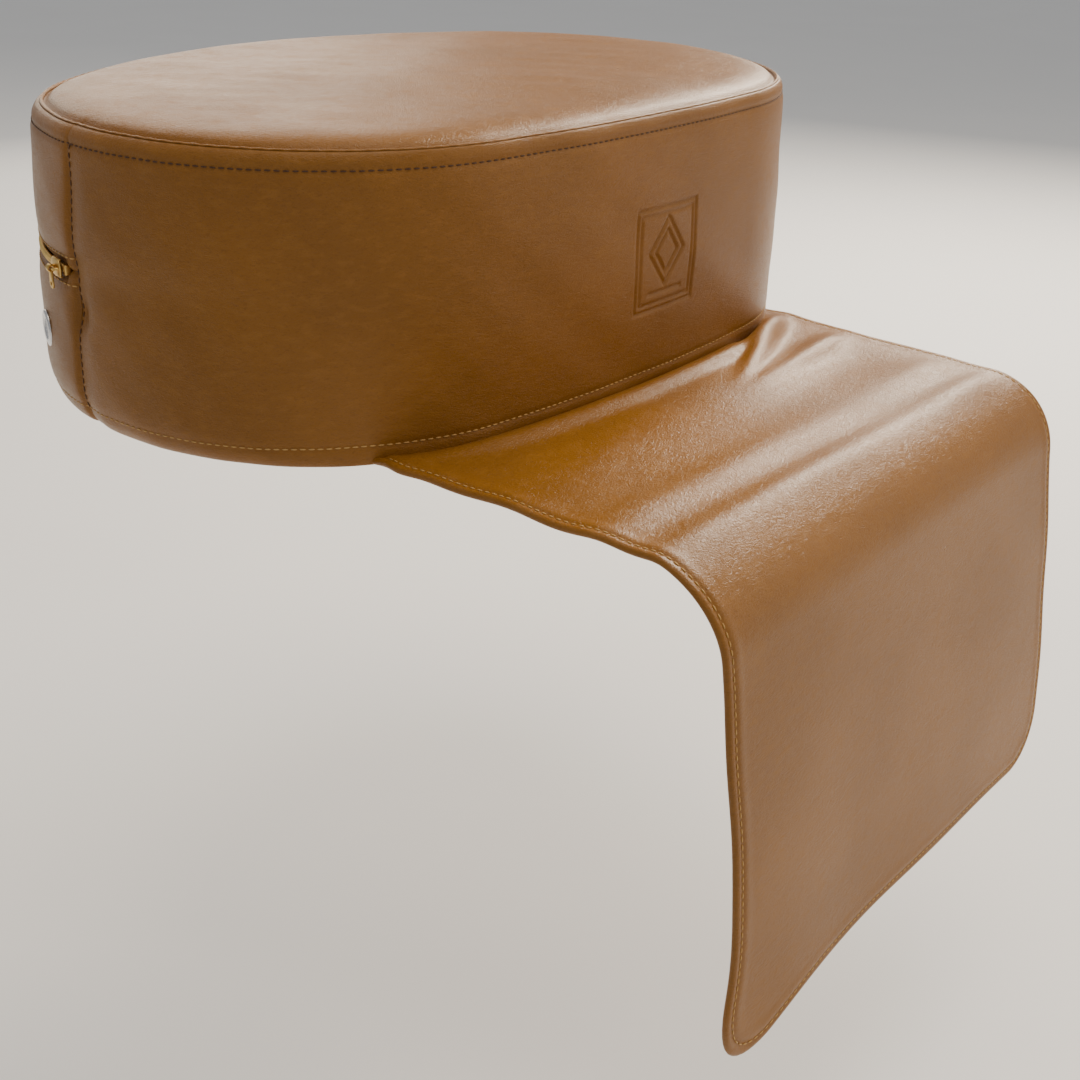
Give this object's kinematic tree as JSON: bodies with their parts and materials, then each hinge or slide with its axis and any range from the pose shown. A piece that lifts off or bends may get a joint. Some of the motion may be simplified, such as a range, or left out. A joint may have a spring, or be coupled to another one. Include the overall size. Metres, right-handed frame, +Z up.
{
  "type": "booster cushion",
  "caption": "Thick D-shaped booster cushion in tan leatherette for a styling chair, with a zip, an air vent and a sewn flap that hangs over the front of the seat.",
  "frame": {"origin": "middle of the cushion's underside, on the chair's seat", "axes": "+Z up, +X to the cushion's right, the flap towards -Y and down below z = 0 in front of the seat"},
  "size_m": [0.4614, 0.5169, 0.3728],
  "materials": {
    "leatherette": "satin, fine grain, lightly creased",
    "base_cloth": "matte non-slip cloth",
    "lining": "matte, fine grain",
    "interlining": "matte felt",
    "foam": "matte open-cell foam",
    "wadding": "matte fibre",
    "zip_tape": "matte woven tape",
    "brass": "polished brass",
    "bright_metal": "nickel plated",
    "screen": "fine wire mesh",
    "thread": "polyester thread"
  },
  "bodies": {
    "root": {"bottom_panel": "base_cloth", "front_band": "leatherette", "rear_band_upper": "leatherette", "rear_band_lower": "leatherette", "foam_core": "foam", "wadding": "wadding", "top_panel": "leatherette", "zip_teeth_upper": "brass", "zip_teeth_lower": "brass", "zip_tape_upper": "zip_tape", "zip_tape_lower": "zip_tape", "zip_top_stop": "brass", "zip_bottom_stop": "brass", "vent_eyelet": "bright_metal", "vent_washer": "bright_metal", "vent_screen": "screen", "flap_lining_root": "lining", "flap_interlining_root": "interlining", "flap_skin_root": "leatherette", "top_seam_thread": "thread", "foot_seam_thread": "thread", "left_seam_thread": "thread", "right_seam_thread": "thread"},
    "flap": {"flap_lining_seat": "lining", "flap_interlining_seat": "interlining", "flap_skin_seat": "leatherette", "flap_lining_roll": "lining", "flap_interlining_roll": "interlining", "flap_skin_roll": "leatherette", "hem_thread_seat": "thread"},
    "apron": {"flap_lining_apron": "lining", "flap_interlining_apron": "interlining", "flap_skin_apron": "leatherette", "hem_thread_apron": "thread"},
    "slider": {"zip_slider": "brass", "slider_bridge": "brass"},
    "tab": {"pull_tab": "brass"}
  },
  "joints": [
    {"name": "flap_lift", "type": "hinge", "parent": "root", "child": "flap", "pos_m": [0, -0.167, 0.0045], "axis": [-1, 0, 0], "range_deg": [0, 90], "deforming": ["flap_lining_root", "flap_interlining_root", "flap_skin_root"]},
    {"name": "apron_bend", "type": "hinge", "parent": "flap", "child": "apron", "pos_m": [0, -0.3177, -0.005], "axis": [-1, 0, 0], "range_deg": [0, 82.7], "deforming": ["flap_lining_roll", "flap_interlining_roll", "flap_skin_roll"]},
    {"name": "slider_travel", "type": "hinge", "parent": "root", "child": "slider", "pos_m": [-0.071, -0.018, 0.076], "axis": [0, 0, -1], "range_deg": [0, 47.8]},
    {"name": "tab_swing", "type": "hinge", "parent": "slider", "child": "tab", "pos_m": [-0.22985, 0.01809, 0.076], "axis": [0.2215, 0.9751, 0], "range_deg": [-3, 172]}
  ]
}
